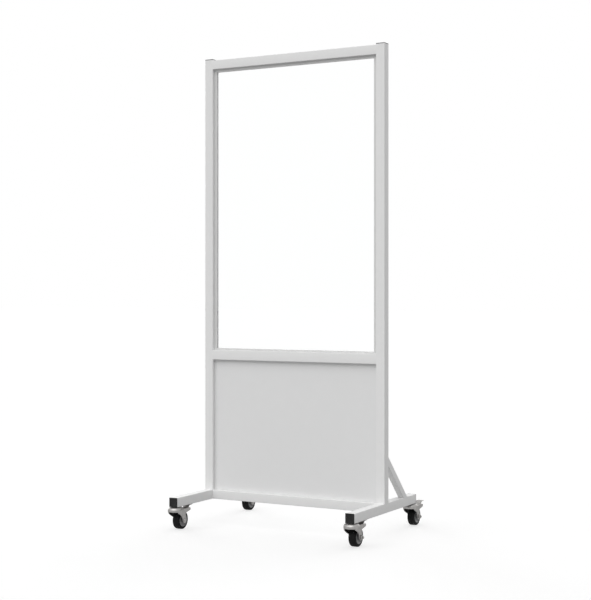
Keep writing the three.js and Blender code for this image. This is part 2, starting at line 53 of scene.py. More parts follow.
# The CAD's fine gap between pieces that touch
SEAT_GAP = 0.3

# Frame
TUBE_CORNER = 1.3
BRACE_CORNER = 1.3
CAP_LIP = 2.5
CAP_EDGE = 0.5
CAP_RIM = 4.0
CAP_DISH_SLOPE = 0.6
CAP_DISH_DEPTH = 0.35
CAP_LEAST_CORNER = 0.6

# Welds. A tube's end runs as deep into its neighbour as the neighbour's corner is round.
WELD_DEPTH = TUBE_CORNER + SEAT_GAP
WELD_RADIUS = 1.1
WELD_RIPPLE = 2.4
WELD_RIPPLE_SHARE = 0.14
STEPS_PER_RIPPLE = 4
WELD_SIDES = 8

# Window and lower panel
PANEL_THICKNESS = 6.0
CHANNEL_WALL = 3.2
CHANNEL_BASE = 2.0
CHANNEL_EDGE = 0.3
STOP_EDGE = 0.3
CLEAR_PANEL_EDGE = 0.5
LOWER_PANEL_EDGE = 0.7

# Screws behind the lower panel
SCREW_RADIUS = 3.6
SCREW_HEIGHT = 2.0
SCREW_RIM = 0.35
SCREW_DOME_DEGREES = 58
SCREW_SPACING = 175.0
SOCKET_RADIUS = 1.55
SOCKET_FLOOR_RADIUS = 1.45
SOCKET_FLOOR_HEIGHT = 0.9
SOCKET_CENTRE_HEIGHT = 0.7

# Caster
TRAIL = 34.0
FOOT_UNDERSIDE_HEIGHT = 96.3
WHEEL_RADIUS = 37.5
WHEEL_WIDTH = 30.0
TREAD_WIDTH = 21.0
SHOULDER_DROP = 5.0
MOULD_LINE = 0.15
MOULD_LINE_HALF_WIDTH = 0.35
MOULD_LINE_HALF_FOOT = 0.7
GROOVE_OUTER_RADIUS = 30.6
GROOVE_INNER_RADIUS = 29.2
GROOVE_SLOPE = 0.4
GROOVE_DEPTH = 0.35
TYRE_SEAT = 0.1
TYRE_SEAT_EASE = 0.6
RIM_RADIUS = 26.5
RIM_WIDTH = 32.0
RIM_LIP = 3.5
HUB_WEB_WIDTH = 17.0
HUB_BOSS_RADIUS = 9.5
HUB_BOSS_WIDTH = 38.0
HUB_BOSS_EASE = 0.6
HUB_FILLET = ((0.0, 1.6), (0.5, 0.8), (1.6, 0.5))
HUB_DISH = ((-4.4, -4.6), (-3.8, -3.6), (-0.5, -0.5), (0.4, 0.0))
HUB_RIM_EASE = 0.5
STEM_RADIUS = 6.0
FLANGE_RADIUS = 13.0
FLANGE_THICKNESS = 1.5
FLANGE_EASE = 0.4
WASHER_RADIUS = 13.8
WASHER_THICKNESS = 4.0
RIVET_HEAD_RADIUS = 9.5
RIVET_HEAD_THICKNESS = 3.0
RIVET_EDGE = 2.0
RACE_EDGE = 2.0
STEEL = 3.0
CROWN_RADIUS = 32.5
CROWN_FLAT_RADIUS = 20.0
CROWN_SKIRT_DROP = 20.5
CROWN_WIDEST_DROP = 15.0
CROWN_RIM_TUCK = 0.6
CHEEK_WAIST_RADIUS = 27.0
CHEEK_WAIST_DROP = 45.0
CHEEK_END_DROP = 53.0
WHEEL_WELL_CLEARANCE = 2.5
LEG_INNER_SPACING = 40.0
CHEEK_FRONT = -17.0
CHEEK_DROP = 24.7
SWEEP_END = 11.4
SWEEP_END_DROP = 45.1
KNEE = 20.0
KNEE_DROP = 51.5
LEG_TIP_RADIUS = 12.5
NECK = 41.0
NECK_DROP = 30.0
FORK_SHOULDER_DROP = 10.8
ARM_REACH = 78.0
ARM_TIP_RADIUS = 6.2
AXLE_RADIUS = 4.8
AXLE_HOLE_RADIUS = 5.1
BOLT_HEAD_RADIUS = 8.0
BOLT_HEAD_HEIGHT = 4.0
BOLT_HEAD_RIM = 0.8
BOLT_END_EASE = 0.8
NUT_ACROSS_FLATS = 16.0
NUT_HEIGHT = 7.0
NUT_CHAMFER_SHARE = 0.6
NUT_FACE_INSET = 0.3
NUT_THREAD_LAP = 0.2
NUT_MOUTH_WIDENING = 0.6
NUT_MOUTH_DEPTH = 0.7
THREAD_END = 4.0
THREAD_PITCH = 1.0
THREAD_LAND = 0.35
THREAD_ROOT_FROM = 0.75
THREAD_DEPTH = 0.5
THREAD_RUN_OUT = 1.2
PEDAL_REACH = 108.0
PEDAL_WIDTH = 29.0
PEDAL_STEEL = 2.0
PEDAL_FRONT = 44.0
PEDAL_TIP_DROP = 1.2
PEDAL_PIVOT_REACH = 60.0
PEDAL_PIVOT_DROP = 16.0
PEDAL_PIN_RADIUS = 3.0
PEDAL_BEND = 3.0
PEDAL_CORNER = 5.0
PEDAL_EASE_SHARE = 0.25
PIN_HEAD = ((0.0, 1.2), (3.0, 0.9), (4.2, 0.05), (PEDAL_PIN_RADIUS, 0.02))
RIB_REACHES = (86.0, 90.5, 95.0, 99.5)
RIB_RADIUS = 0.9
RIB_SINK = 0.2
RIB_FLATNESS = 0.75
RIB_INSET = 3.5
RISER_FOOT_REACH = 74.0
RISER_TOP_REACH = 80.0
RISER_TOP_DROP = 2.6
SHOE_WIDTH = 16.0
SHOE_REACH = 69.0
SHOE_THICKNESS = 5.0
SHOE_DROP = 31.0
SHOE_EASE = 1.2

# Caster sizes that follow from these
AXLE_DROP = FOOT_UNDERSIDE_HEIGHT - WHEEL_RADIUS
LEG_OUTER_X = LEG_INNER_SPACING / 2 + STEEL
BORE_RADIUS = STEM_RADIUS + SEAT_GAP
CROWN_TOP_DROP = SEAT_GAP + FLANGE_THICKNESS + SEAT_GAP
WASHER_TOP_DROP = CROWN_TOP_DROP + STEEL + SEAT_GAP
RIVET_TOP_DROP = WASHER_TOP_DROP + WASHER_THICKNESS + SEAT_GAP

# Facets
CORNER_STEPS = 6
CURVE_STEPS = 12
WHEEL_SIDES = 128
CROWN_SIDES = 96
SMALL_SIDES = 48
NUT_SIDES = 144
RIVET_EDGE_STEPS = 5
RACE_EDGE_STEPS = 6
HEAD_STEPS = 8
PEDAL_BEND_STEPS = 6
TREAD_STEPS = 16
RIB_STEPS = 6
BEVEL_SEGMENTS = 3
BEVEL_DEGREES = 40
FORK_VOXEL = 0.55
FORK_SMOOTHING = 0.5
FORK_SMOOTHING_PASSES = 5
FORK_FACES_KEPT = 0.22

# Materials
NOISE_LOW = 0.3
NOISE_HIGH = 0.7
# Painted highlight: pointiness levels between which a lighter edge colour fades in on outer edges
EDGE_HIGHLIGHT_FROM = 0.52
EDGE_HIGHLIGHT_TO = 0.62
CLEAR_TINT = (0.995, 1.0, 0.998, 1)
CLEAR_IOR = 1.49
RIPPLE_DEPTH = 0.004
RIPPLE_SCALE = 14.0

# Studio, in metres
FLOOR_HALF_WIDTH = 60.0
FLOOR_COLOUR = 0.5
FLOOR_GLOW = 0.628
AMBIENT = 0.55
CAMERA_PLACE = (2.7073, -4.9311, 0.9808)
CAMERA_TURN = 0.5043
CAMERA_SENSOR = 36.0
CAMERA_LENS = 80.81
CAMERA_SHIFT = -0.0137


# ---------------------------------------------------------------- shapes

def turned(profile, sides, ring=False, hexagon=None):
    """Points and faces of [radius, height] pairs turned about Z. A radius of 0 is a point on the axis,
    a ring joins its last pair to its first, and hexagon is an apothem that cuts flats on wider rings."""
    points, rings, faces = [], [], []
    for radius, height in profile:
        count = sides if radius > 0 else 1
        rings.append(range(len(points), len(points) + count))
        for step in range(count):
            angle = 2 * math.pi * step / sides
            reach = radius
            if hexagon:
                reach = min(radius, hexagon / math.cos(angle % (math.pi / 3) - math.pi / 6))
            points.append((reach * math.cos(angle), reach * math.sin(angle), height))
    pairs = list(zip(rings, rings[1:]))
    if ring:
        pairs.append((rings[-1], rings[0]))
    for low, high in pairs:
        for step in range(sides):
            after = (step + 1) % sides
            corners = [low[step % len(low)], low[after % len(low)]]
            corners += [high[after % len(high)], high[step % len(high)]]
            face = list(dict.fromkeys(corners))
            if len(face) > 2:
                faces.append(face)
    return points, faces


def prism(outline, start, end):
    """Points and faces of an outline of pairs made thick along a third axis."""
    count = len(outline)
    points = [(a, b, start) for a, b in outline] + [(a, b, end) for a, b in outline]
    faces = [list(range(count)), list(range(count, 2 * count))]
    faces += [[i, (i + 1) % count, count + (i + 1) % count, count + i] for i in range(count)]
    return points, faces


def skin(loops):
    """Points and faces of a skin over closed loops with the same number of points, and of its two ends."""
    count = len(loops[0])
    points = [p for loop in loops for p in loop]
    faces = []
    for level in range(len(loops) - 1):
        low, high = level * count, (level + 1) * count
        faces += [[low + i, low + (i + 1) % count, high + (i + 1) % count, high + i] for i in range(count)]
    faces += [list(range(count)), list(range(len(points) - count, len(points)))]
    return points, faces


def joined(*shapes):
    """Several shapes as one set of points and faces."""
    points, faces = [], []
    for more_points, more_faces in shapes:
        offset = len(points)
        points += more_points
        faces += [[i + offset for i in face] for face in more_faces]
    return points, faces


def turn_to_x(shape):
    """Z becomes X, so that what is turned about Z is turned about X, and a side view is as thick along X."""
    points, faces = shape
    return [(z, x, y) for x, y, z in points], faces


def turn_to_y(shape):
    """Z becomes Y."""
    points, faces = shape
    return [(x, z, y) for x, y, z in points], faces


def moved(shape, x, y, z):
    points, faces = shape
    return [(a + x, b + y, c + z) for a, b, c in points], faces


def arc(centre_a, centre_b, radius, start, end, steps=CURVE_STEPS, flat=1.0):
    """Points of an arc, as pairs."""
    angles = [start + (end - start) * i / steps for i in range(steps + 1)]
    return [(centre_a + radius * math.cos(t), centre_b + flat * radius * math.sin(t)) for t in angles]


def bend(start, control, end, steps=CURVE_STEPS):
    """Points of a curve from start to end that is drawn towards control, without its start."""
    pairs = []
    for i in range(1, steps + 1):
        t = i / steps
        shares = ((1 - t) ** 2, 2 * t * (1 - t), t * t)
        pairs.append(tuple(sum(a * b for a, b in zip(shares, at)) for at in zip(start, control, end)))
    return pairs


def rounded_rectangle(low, high, radius):
    """Outline of a rectangle between two corners, with round corners."""
    (left, bottom), (right, top) = low, high
    centres = [(right - radius, top - radius), (left + radius, top - radius)]
    centres += [(left + radius, bottom + radius), (right - radius, bottom + radius)]
    outline = []
    for quarter, (across, up) in enumerate(centres):
        start = quarter * math.pi / 2
        outline += arc(across, up, radius, start, start + math.pi / 2, CORNER_STEPS)
    return outline


def mesh_of(name, shape):
    points, faces = shape
    mesh = bpy.data.meshes.new(name)
    mesh.from_pydata([[c * MM for c in p] for p in points], [], faces)
    tidy = bmesh.new()
    tidy.from_mesh(mesh)
    bmesh.ops.remove_doubles(tidy, verts=tidy.verts, dist=MERGE_DISTANCE)
    bmesh.ops.recalc_face_normals(tidy, faces=tidy.faces)
    tidy.to_mesh(mesh)
    tidy.free()
    return mesh


def baked(work):
    """The object's mesh with its modifiers applied. The object is removed."""
    bpy.context.view_layer.update()
    graph = bpy.context.evaluated_depsgraph_get()
    mesh = bpy.data.meshes.new_from_object(work.evaluated_get(graph))
    bpy.data.objects.remove(work)
    return mesh


def combined(mesh, other, operation):
    """The union, difference or intersection of two closed meshes."""
    work = bpy.data.objects.new("work", mesh)
    tool = bpy.data.objects.new("tool", other)
    scene.collection.objects.link(work)
    scene.collection.objects.link(tool)
    change = work.modifiers.new("combine", "BOOLEAN")
    change.operation = operation
    change.solver = "EXACT"
    change.object = tool
    result = baked(work)
    bpy.data.objects.remove(tool)
    return result


# ---------------------------------------------------------------- materials

def value_range(tree, source, low, high):
    """A noise value, most of it between two usual levels, spread from low to high."""
    spread = tree.nodes.new("ShaderNodeMapRange")
    spread.inputs["From Min"].default_value = NOISE_LOW
    spread.inputs["From Max"].default_value = NOISE_HIGH
    spread.inputs["To Min"].default_value = low
    spread.inputs["To Max"].default_value = high
    tree.links.new(source, spread.inputs["Value"])
    return spread.outputs["Result"]


def noise(tree, scale, detail=3.0):
    """Noise in the piece's own space, in repeats to the metre."""
    place = tree.nodes.new("ShaderNodeTexCoord")
    texture = tree.nodes.new("ShaderNodeTexNoise")
    texture.inputs["Scale"].default_value = scale
    texture.inputs["Detail"].default_value = detail
    tree.links.new(place.outputs["Object"], texture.inputs["Vector"])
    return texture.outputs["Fac"]


def mixed(tree, factor, first, second):
    """A colour between two by a factor."""
    mix = tree.nodes.new("ShaderNodeMix")
    mix.data_type = "RGBA"
    for socket, value in (("A", first), ("B", second)):
        target = [i for i in mix.inputs if i.name == socket and i.type == "RGBA"][0]
        if isinstance(value, tuple):
            target.default_value = (*value, 1)
        else:
            tree.links.new(value, target)
    tree.links.new(factor, mix.inputs["Factor"])
    return [o for o in mix.outputs if o.type == "RGBA"][0]


def finish(name, dark, light, roughness, metallic=0.0, patches=40.0, grain=900.0, grain_depth=0.02,
           edge=None, **sockets):
    """A material whose colour drifts between two shades in patches, whose roughness drifts between two
    values, with a fine grain as bump, and with an optional colour on its outer edges as a painted highlight."""
    material = bpy.data.materials.new(name)
    material.use_nodes = True
    tree = material.node_tree
    shader = tree.nodes["Principled BSDF"]
    shader.inputs["Metallic"].default_value = metallic
    for socket, value in sockets.items():
        shader.inputs[socket.replace("_", " ")].default_value = value
    patch = noise(tree, patches)
    fine = noise(tree, grain)
    colour = mixed(tree, value_range(tree, patch, 0.0, 1.0), dark, light)
    # Painted highlight: the edge colour is laid on the outer edges, where light would glint.
    if edge:
        edge_highlight_mask = tree.nodes.new("ShaderNodeMapRange")
        edge_highlight_mask.inputs["From Min"].default_value = EDGE_HIGHLIGHT_FROM
        edge_highlight_mask.inputs["From Max"].default_value = EDGE_HIGHLIGHT_TO
        geometry = tree.nodes.new("ShaderNodeNewGeometry")
        tree.links.new(geometry.outputs["Pointiness"], edge_highlight_mask.inputs["Value"])
        colour = mixed(tree, edge_highlight_mask.outputs["Result"], colour, edge)
    tree.links.new(colour, shader.inputs["Base Color"])
    tree.links.new(value_range(tree, fine, *roughness), shader.inputs["Roughness"])
    bump = tree.nodes.new("ShaderNodeBump")
    bump.inputs["Strength"].default_value = 1.0
    bump.inputs["Distance"].default_value = grain_depth * MM
    tree.links.new(fine, bump.inputs["Height"])
    tree.links.new(bump.outputs["Normal"], shader.inputs["Normal"])
    return material


def clear_finish():
    """Clear sheet: polished faces, with a slight ripple."""
    material = bpy.data.materials.new("clear sheet")
    material.use_nodes = True
    tree = material.node_tree
    shader = tree.nodes["Principled BSDF"]
    shader.inputs["Base Color"].default_value = CLEAR_TINT
    shader.inputs["Transmission Weight"].default_value = 1.0
    shader.inputs["IOR"].default_value = CLEAR_IOR
    shader.inputs["Roughness"].default_value = 0.0
    bump = tree.nodes.new("ShaderNodeBump")
    bump.inputs["Strength"].default_value = 1.0
    bump.inputs["Distance"].default_value = RIPPLE_DEPTH * MM
    tree.links.new(noise(tree, RIPPLE_SCALE, detail=1.0), bump.inputs["Height"])
    tree.links.new(bump.outputs["Normal"], shader.inputs["Normal"])
    return material


WHITE_PAINT = finish(
    "white powder coat", dark=(0.787, 0.787, 0.785), light=(0.797, 0.797, 0.795), roughness=(0.42, 0.52),
    grain=700.0, grain_depth=0.03, Specular_IOR_Level=0.3,
)
WHITE_SHEET = finish(
    "white panel sheet", dark=(0.762, 0.763, 0.763), light=(0.77, 0.771, 0.771), roughness=(0.5, 0.6),
    patches=22.0, grain=1300.0, grain_depth=0.02, Specular_IOR_Level=0.3,
)
# Painted shade: the channel's grey is darker than the frame's white, painting the shade that falls on its
# face in the window's recess.
RECESS_SHADED_CHANNEL_FINISH = finish(
    "window channel", dark=(0.66, 0.66, 0.657), light=(0.672, 0.672, 0.669), roughness=(0.38, 0.48),
    patches=30.0, grain=1200.0, grain_depth=0.012, Specular_IOR_Level=0.3,
)
BLACK_PLASTIC = finish(
    "black cap plastic", dark=(0.011, 0.011, 0.011), light=(0.016, 0.016, 0.016), roughness=(0.5, 0.66),
    patches=150.0, grain=2400.0, grain_depth=0.03, Specular_IOR_Level=0.22,
)
# The zinc's lighter edge colour is a painted highlight on the outer edges of the fork and fittings.
ZINC_STEEL = finish(
    "zinc plated steel", dark=(0.325, 0.317, 0.31), light=(0.36, 0.352, 0.344), roughness=(0.34, 0.46),
    metallic=1.0, patches=120.0, grain=1500.0, grain_depth=0.008, edge=(0.45, 0.44, 0.43),
    Specular_Tint=(0.6, 0.6, 0.6, 1),
)
TYRE_RUBBER = finish(
    "tyre rubber", dark=(0.006, 0.006, 0.0062), light=(0.009, 0.009, 0.0092), roughness=(0.6, 0.8),
    patches=200.0, grain=2600.0, grain_depth=0.05, Specular_IOR_Level=0.12,
)
HUB_PLASTIC = finish(
    "hub plastic", dark=(0.2, 0.2, 0.202), light=(0.235, 0.235, 0.237), roughness=(0.4, 0.55),
    patches=160.0, grain=2200.0, grain_depth=0.03, Specular_IOR_Level=0.3,
)
CLEAR_SHEET = clear_finish()


# ---------------------------------------------------------------- pieces

def piece(name, mesh, material, body, stands_for=(), at=(0, 0, 0), turn=0.0, bevel=0.0, smooth_angle=35):
    """A finished piece in place, riding on its body."""
    if not mesh.materials:
        mesh.materials.append(material)
        mesh.shade_smooth()
        mesh.set_sharp_from_angle(angle=math.radians(smooth_angle))
    made = bpy.data.objects.new(name, mesh)
    scene.collection.objects.link(made)
    made.location = Vector(at) * MM
    made.rotation_euler.z = turn
    if bevel:
        edges = made.modifiers.new("rounded edges", "BEVEL")
        edges.width = bevel * MM
        edges.segments = BEVEL_SEGMENTS
        edges.limit_method = "ANGLE"
        edges.angle_limit = math.radians(BEVEL_DEGREES)
        edges.harden_normals = True
    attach(made, body)
    if stands_for:
        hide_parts(*stands_for)
    return made


def limits(node):
    """Lowest and highest corner of a node, in millimetres."""
    low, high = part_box(node)
    return [c / MM for c in low], [c / MM for c in high]


def upright_tube(name, node):
    """A post, which runs a little way into the foot that it is welded to."""
    low, high = limits(node)
    outline = rounded_rectangle(low[:2], high[:2], TUBE_CORNER)
    shape = prism(outline, low[2] - WELD_DEPTH, high[2])
    piece(name, mesh_of(name, shape), WHITE_PAINT, "frame", [node])


def cross_tube(name, node):
    """A rail, which runs a little way into the posts or feet that it is welded to."""
    low, high = limits(node)
    outline = rounded_rectangle(low[1:], high[1:], TUBE_CORNER)
    shape = turn_to_x(prism(outline, low[0] - WELD_DEPTH, high[0] + WELD_DEPTH))
    piece(name, mesh_of(name, shape), WHITE_PAINT, "frame", [node])


def foot_tube(name, node):
    low, high = limits(node)
    outline = rounded_rectangle((low[0], low[2]), (high[0], high[2]), TUBE_CORNER)
    shape = turn_to_y(prism(outline, low[1], high[1]))
    piece(name, mesh_of(name, shape), WHITE_PAINT, "frame", [node])


def brace_tube(name, node, post, foot):
    """The slim tube at 45 degrees, its ends cut to the post and the foot and run a little way into them."""
    low, high = limits(node)
    post_rear = limits(post)[1][1]
    foot_top = limits(foot)[1][2]
    width = high[0] - low[0]
    reach = high[1] - post_rear
    inner = reach - width * math.sqrt(2)
    loops = []
    for end in (-1, 1):
        loop = []
        for across, along in rounded_rectangle((low[0], -width / 2), (high[0], width / 2), BRACE_CORNER):
            # A point of the section meets the foot's or the post's plane at this distance from the corner.
            distance = (reach + inner) / 2 + along * math.sqrt(2)
            if end < 0:
                loop.append((across, post_rear + distance + WELD_DEPTH, foot_top - WELD_DEPTH))
            else:
                loop.append((across, post_rear - WELD_DEPTH, foot_top + distance + WELD_DEPTH))
        loops.append(loop)
    piece(name, mesh_of(name, skin(loops)), WHITE_PAINT, "frame", [node])


def weld_bead(name, start, end):
    """A thin rippled bead along a level line."""
    run = Vector(end) - Vector(start)
    along = run.normalized()
    side = along.cross(Vector((0, 0, 1)))
    up = side.cross(along)
    count = round(run.length / (WELD_RIPPLE / STEPS_PER_RIPPLE))
    last_angle = 2 * math.pi * (1 - 1 / WELD_SIDES)
    loops = []
    for i in range(count + 1):
        centre = Vector(start) + run * i / count
        wave = abs(math.sin(math.pi * run.length * i / count / WELD_RIPPLE))
        radius = WELD_RADIUS * (1 - WELD_RIPPLE_SHARE + WELD_RIPPLE_SHARE * wave)
        section = arc(0, 0, radius, 0, last_angle, WELD_SIDES - 1)
        loops.append([tuple(centre + side * a + up * b) for a, b in section])
    piece(name, mesh_of(name, skin(loops)), WHITE_PAINT, "frame", smooth_angle=80)


def rail_welds(rail):
    """Beads above and below a rail where it meets each post."""
    low, high = limits(rail)
    for side in ("left", "right"):
        post_low, post_high = limits(f"{side}_post")
        face = post_low[0] if side == "right" else post_high[0]
        for place, height in (("upper", high[2]), ("lower", low[2])):
            start = (face, low[1] + TUBE_CORNER, height)
            end = (face, high[1] - TUBE_CORNER, height)
            weld_bead(f"{rail}_{side}_{place}_weld", start, end)


def end_cap(name, node, axis, sign):
    """A moulded cap with a rounded lip and a shallow dish, its face towards sign on the axis."""
    low, high = limits(node)
    across = [i for i in range(3) if i != axis]
    outer = high[axis] if sign > 0 else low[axis]
    levels = [(0.0, CAP_LIP + SEAT_GAP), (0.0, CAP_EDGE)]
    for i in range(1, CORNER_STEPS + 1):
        angle = math.pi / 2 * i / CORNER_STEPS
        levels.append((CAP_EDGE * (1 - math.cos(angle)), CAP_EDGE * (1 - math.sin(angle))))
    levels += [(CAP_RIM, 0.0), (CAP_RIM + CAP_DISH_SLOPE, CAP_DISH_DEPTH)]
    loops = []
    for inset, depth in levels:
        low_pair = [low[i] + inset for i in across]
        high_pair = [high[i] - inset for i in across]
        loop = []
        for a, b in rounded_rectangle(low_pair, high_pair, max(TUBE_CORNER - inset, CAP_LEAST_CORNER)):
            point = [0.0, 0.0, 0.0]
            point[across[0]] = a
            point[across[1]] = b
            point[axis] = outer - sign * depth
            loop.append(tuple(point))
        loops.append(loop)
    piece(name, mesh_of(name, skin(loops)), BLACK_PLASTIC, "frame", [node], smooth_angle=50)


def block(name, node, material, bevel, seated=0.0):
    """A straight piece as large as its node, with eased edges. It may be seated against what is around it,
    which closes the fine gap on every side but the rear."""
    low, high = limits(node)
    low = [c - seated for c in low]
    high = [high[0] + seated, high[1], high[2] + seated]
    outline = [(low[0], low[1]), (high[0], low[1]), (high[0], high[1]), (low[0], high[1])]
    mesh = mesh_of(name, prism(outline, low[2], high[2]))
    return piece(name, mesh, material, "frame", [node], bevel=bevel)


def window_channel(name, node, side):
    """A U channel as long as its node, with its slot towards the window."""
    low, high = limits(node)
    half_slot = PANEL_THICKNESS / 2 + SEAT_GAP
    half_width = half_slot + CHANNEL_WALL
    middle = (low[1] + high[1]) / 2
    upright = side in ("left", "right")
    leg = high[0] - low[0] if upright else high[2] - low[2]
    outline = [
        (0, -half_width), (leg, -half_width), (leg, -half_slot), (CHANNEL_BASE, -half_slot),
        (CHANNEL_BASE, half_slot), (leg, half_slot), (leg, half_width), (0, half_width),
    ]
    start, end = (low[2], high[2]) if upright else (low[0], high[0])
    points, faces = prism(outline, start, end)
    base = {"left": low[0], "right": high[0], "top": high[2], "bottom": low[2]}[side]
    inward = 1 if side in ("left", "bottom") else -1
    if upright:
        points = [(base + inward * a, middle + b, c) for a, b, c in points]
    else:
        points = [(c, middle + b, base + inward * a) for a, b, c in points]
    # The channel's darker colour is painted shade of the recess.
    piece(name, mesh_of(name, (points, faces)), RECESS_SHADED_CHANNEL_FINISH, "frame", [node], bevel=CHANNEL_EDGE)


def screw_mesh():
    """Button head with a round socket, its axis along Y and its head to the rear."""
    flatness = (SCREW_HEIGHT - SCREW_RIM) / SCREW_RADIUS
    profile = [(0.0, 0.0), (SCREW_RADIUS, 0.0), (SCREW_RADIUS, SCREW_RIM)]
    dome_end = math.radians(SCREW_DOME_DEGREES)
    profile += arc(0, SCREW_RIM, SCREW_RADIUS, 0, dome_end, HEAD_STEPS, flat=flatness)
    profile += [
        (SOCKET_RADIUS, profile[-1][1]),
        (SOCKET_FLOOR_RADIUS, SOCKET_FLOOR_HEIGHT),
        (0.0, SOCKET_CENTRE_HEIGHT),
    ]
    return mesh_of("panel_screw", turn_to_y(turned(profile, SMALL_SIDES)))


def panel_screws():
    """Screws through the stops behind the lower panel."""
    mesh = screw_mesh()
    for side in ("left", "right", "top", "bottom"):
        low, high = limits(f"panel_stop_{side}")
        run = 2 if side in ("left", "right") else 0
        length = high[run] - low[run]
        count = round(length / SCREW_SPACING)
        for i in range(count):
            at = [(a + b) / 2 for a, b in zip(low, high)]
            at[run] = low[run] + length * (i + 0.5) / count
            at[1] = high[1]
            piece(f"panel_stop_{side}_screw_{i + 1}", mesh, ZINC_STEEL, "frame", at=at)


def build_frame():
    for side in ("left", "right"):
        upright_tube(f"{side}_post_tube", f"{side}_post")
        foot_tube(f"{side}_foot_tube", f"{side}_foot")
        brace_tube(f"{side}_brace_tube", f"{side}_brace", f"{side}_post", f"{side}_foot")
        end_cap(f"{side}_post_cap_moulding", f"{side}_post_cap", 2, 1)
        end_cap(f"{side}_foot_front_cap_moulding", f"{side}_foot_front_cap", 1, -1)
        end_cap(f"{side}_foot_rear_cap_moulding", f"{side}_foot_rear_cap", 1, 1)
    for rail in ("top_rail", "mid_rail", "bottom_rail"):
        cross_tube(f"{rail}_tube", rail)
        if rail != "bottom_rail":
            rail_welds(rail)
    for side in ("left", "right", "top", "bottom"):
        window_channel(f"window_channel_{side}_profile", f"window_channel_{side}", side)
        block(f"panel_stop_{side}_bar", f"panel_stop_{side}", WHITE_PAINT, STOP_EDGE, SEAT_GAP)
    block("lower_panel_sheet", "lower_panel", WHITE_SHEET, LOWER_PANEL_EDGE)
    window = block("clear_panel_sheet", "clear_panel", CLEAR_SHEET, CLEAR_PANEL_EDGE)
    # The lamps shine through the clear sheet.
    window.visible_shadow = False
    panel_screws()


# ---------------------------------------------------------------- caster shapes
# Their origin is on the swivel axis at the foot's underside, or on the wheel's axle.

def stem_shape():
    underside = -SEAT_GAP - FLANGE_THICKNESS
    head = -RIVET_TOP_DROP - RIVET_HEAD_THICKNESS
    profile = [(0, head)]
    edge = (RIVET_HEAD_RADIUS - RIVET_EDGE, head + RIVET_EDGE, RIVET_EDGE)
    profile += arc(*edge, -math.pi / 2, 0, RIVET_EDGE_STEPS)
    profile += [
        (RIVET_HEAD_RADIUS, -RIVET_TOP_DROP),
        (STEM_RADIUS, -RIVET_TOP_DROP),
        (STEM_RADIUS, underside),
        (FLANGE_RADIUS - FLANGE_EASE, underside),
        (FLANGE_RADIUS, underside + FLANGE_EASE),
        (FLANGE_RADIUS, -FLANGE_EASE),
        (FLANGE_RADIUS - FLANGE_EASE, 0),
        (0, 0),
    ]
    return turned(profile, SMALL_SIDES)


def race_shape():
    """Lower bearing race with a rounded outer edge."""
    bottom = -WASHER_TOP_DROP - WASHER_THICKNESS
    profile = [(BORE_RADIUS, bottom)]
    edge = (WASHER_RADIUS - RACE_EDGE, bottom + RACE_EDGE, RACE_EDGE)
    profile += arc(*edge, -math.pi / 2, 0, RACE_EDGE_STEPS)
    profile += [(WASHER_RADIUS, -WASHER_TOP_DROP), (BORE_RADIUS, -WASHER_TOP_DROP)]
    return turned(profile, SMALL_SIDES, ring=True)


def dome_line(radius, top):
    """The sweep of the dome from the flat round the stem out to the widest point, its top that far down."""
    line = []
    for step in range(CURVE_STEPS + 1):
        angle = step / CURVE_STEPS * math.pi / 2
        line.append((
            CROWN_FLAT_RADIUS + (radius - CROWN_FLAT_RADIUS) * math.sin(angle),
            -CROWN_WIDEST_DROP + (CROWN_WIDEST_DROP - top) * math.cos(angle),
        ))
    return line


def crown_shape():
    """The domed crown with its short skirt, in sheet steel."""
    inside = CROWN_RADIUS - STEEL
    profile = [(BORE_RADIUS, -CROWN_TOP_DROP - STEEL)]
    profile += dome_line(inside, CROWN_TOP_DROP + STEEL)
    profile.append((inside - CROWN_RIM_TUCK, -CROWN_SKIRT_DROP))
    profile.append((CROWN_RADIUS - CROWN_RIM_TUCK, -CROWN_SKIRT_DROP))
    profile += reversed(dome_line(CROWN_RADIUS, CROWN_TOP_DROP))
    profile += [(BORE_RADIUS, -CROWN_TOP_DROP)]
    return turned(profile, CROWN_SIDES, ring=True)


def cheek_shape():
    """The crown's skirt as it runs down to the legs, all round."""
    rim = CROWN_RADIUS - CROWN_RIM_TUCK
    profile = [
        (rim - STEEL, -CROWN_WIDEST_DROP),
        (CHEEK_WAIST_RADIUS - STEEL, -CHEEK_WAIST_DROP),
        (LEG_OUTER_X - STEEL, -CHEEK_END_DROP),
        (LEG_OUTER_X, -CHEEK_END_DROP),
        (CHEEK_WAIST_RADIUS, -CHEEK_WAIST_DROP),
        (rim, -CROWN_SKIRT_DROP),
        (rim, -CROWN_WIDEST_DROP),
    ]
    return turned(profile, CROWN_SIDES, ring=True)


def cheek_room_shape():
    """The room inside the crown and the cheeks, which the legs don't reach into."""
    inside = CROWN_RADIUS - CROWN_RIM_TUCK - STEEL
    profile = [
        (0, -CHEEK_END_DROP),
        (LEG_OUTER_X - STEEL, -CHEEK_END_DROP),
        (CHEEK_WAIST_RADIUS - STEEL, -CHEEK_WAIST_DROP),
        (inside, -CROWN_WIDEST_DROP),
        (inside, 0),
        (0, 0),
    ]
    return turned(profile, CROWN_SIDES)


